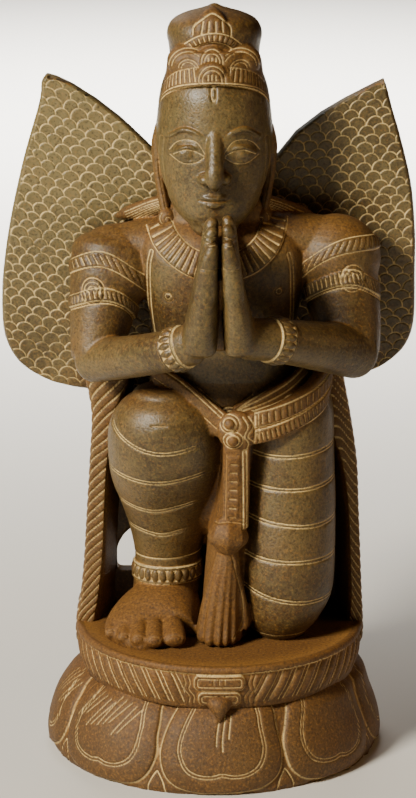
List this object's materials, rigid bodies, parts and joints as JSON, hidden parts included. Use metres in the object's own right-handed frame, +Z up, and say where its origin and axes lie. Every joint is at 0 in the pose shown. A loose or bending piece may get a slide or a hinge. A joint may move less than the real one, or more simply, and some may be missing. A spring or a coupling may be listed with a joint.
{
  "type": "carved garuda figure",
  "caption": "Kneeling winged bird-man with palms pressed together, carved from one stone with scaled wings, a feathered mantle and a lotus plinth.",
  "frame": {"origin": "centre of the plinth's underside", "axes": "+Z up, the figure faces -Y, +X to the right as seen from the front"},
  "size_m": [0.2482, 0.1958, 0.45],
  "materials": {
    "stone": "matt, chiselled and rubbed"
  },
  "bodies": {
    "root": {"garuda_figure": "stone"}
  },
  "joints": []
}
